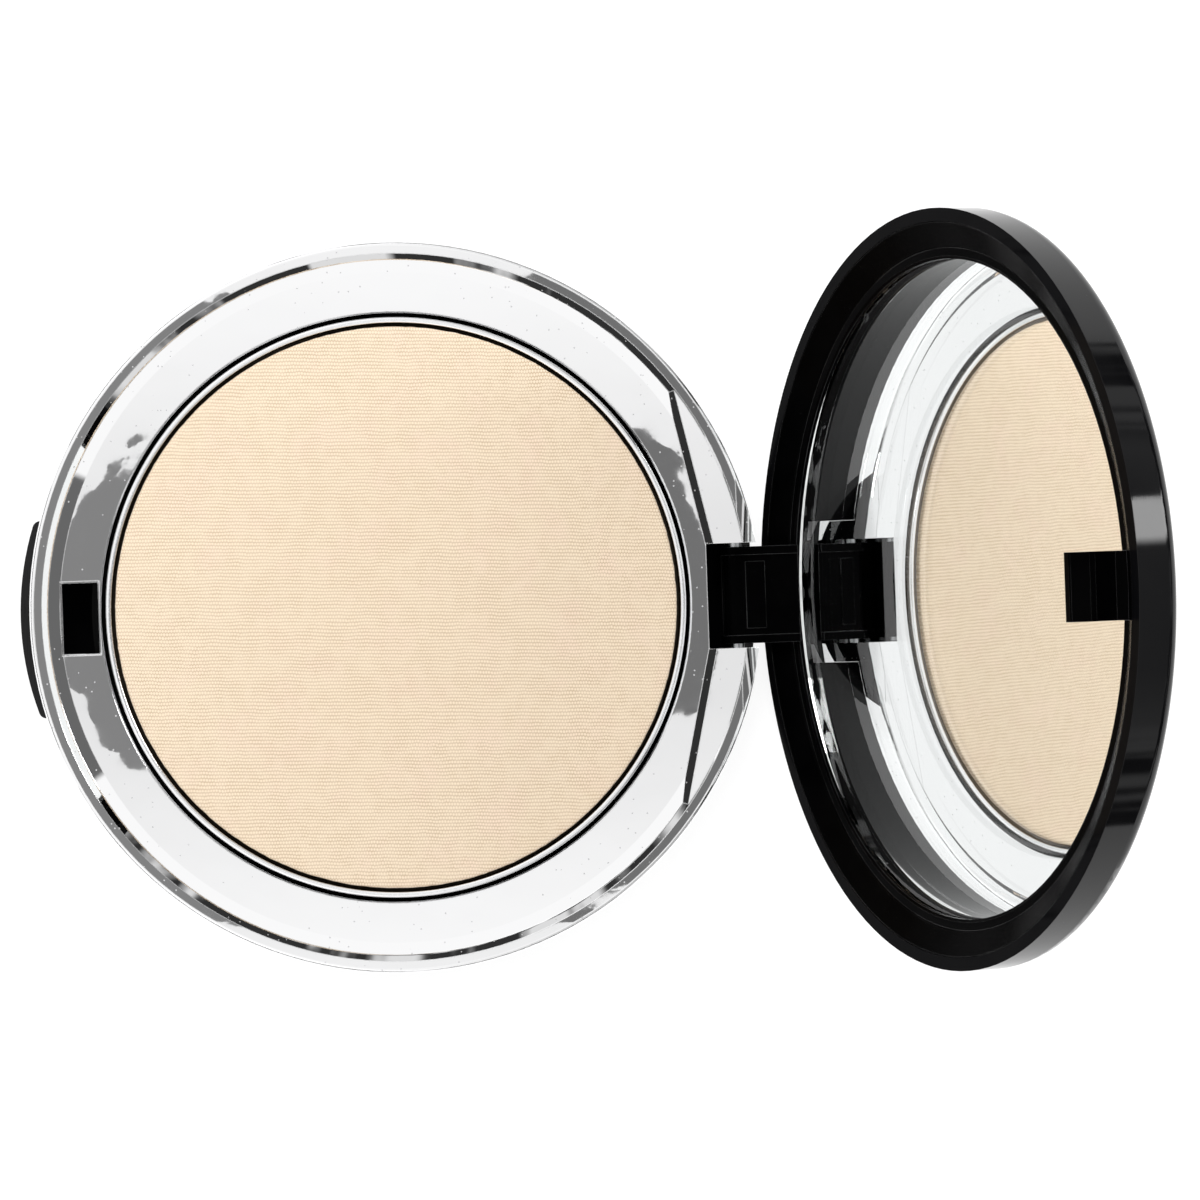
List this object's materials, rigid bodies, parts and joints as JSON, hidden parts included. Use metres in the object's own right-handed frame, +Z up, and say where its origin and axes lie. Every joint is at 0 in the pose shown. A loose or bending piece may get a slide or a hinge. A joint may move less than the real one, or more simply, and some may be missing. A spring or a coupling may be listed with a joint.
{
  "type": "powder compact",
  "caption": "Round black powder compact standing open, with a bright metallised insert, a pan of pale pressed powder, a framed mirror in the hinged lid and a push-button catch.",
  "frame": {"origin": "centre of the base's flat underside, on the table", "axes": "+Z up, +Y from the push button at the front towards the hinge at the back, +X along the hinge pin"},
  "size_m": [0.075, 0.1087, 0.0712],
  "materials": {
    "black_gloss": "gloss",
    "metallised": "polished",
    "pan_metal": "satin",
    "pin_steel": "satin",
    "powder": "matte",
    "mirror_glass": "polished",
    "silvering": "polished",
    "adhesive": "satin"
  },
  "bodies": {
    "base": {"base_shell": "black_gloss", "bright_insert": "metallised", "hinge_pin": "pin_steel", "pan_adhesive": "adhesive", "powder_pan": "pan_metal", "powder_cake": "powder", "button_spring": "pin_steel"},
    "button": {"push_button": "black_gloss"},
    "lid": {"lid_shell": "black_gloss", "lid_frame": "black_gloss", "mirror_glass": "mirror_glass", "mirror_silvering": "silvering", "mirror_adhesive": "adhesive"}
  },
  "joints": [
    {"name": "lid_hinge", "type": "hinge", "parent": "base", "child": "lid", "pos_m": [0, 0.0352, 0.0054], "axis": [1, 0, 0], "range_deg": [0, 112]},
    {"name": "button_slide", "type": "slide", "parent": "base", "child": "button", "axis": [0, 1, 0], "range_m": [0, 0.0008], "stiffness_N_per_m": 2500, "springref_m": -0.0002, "deforming": ["button_spring"]}
  ]
}
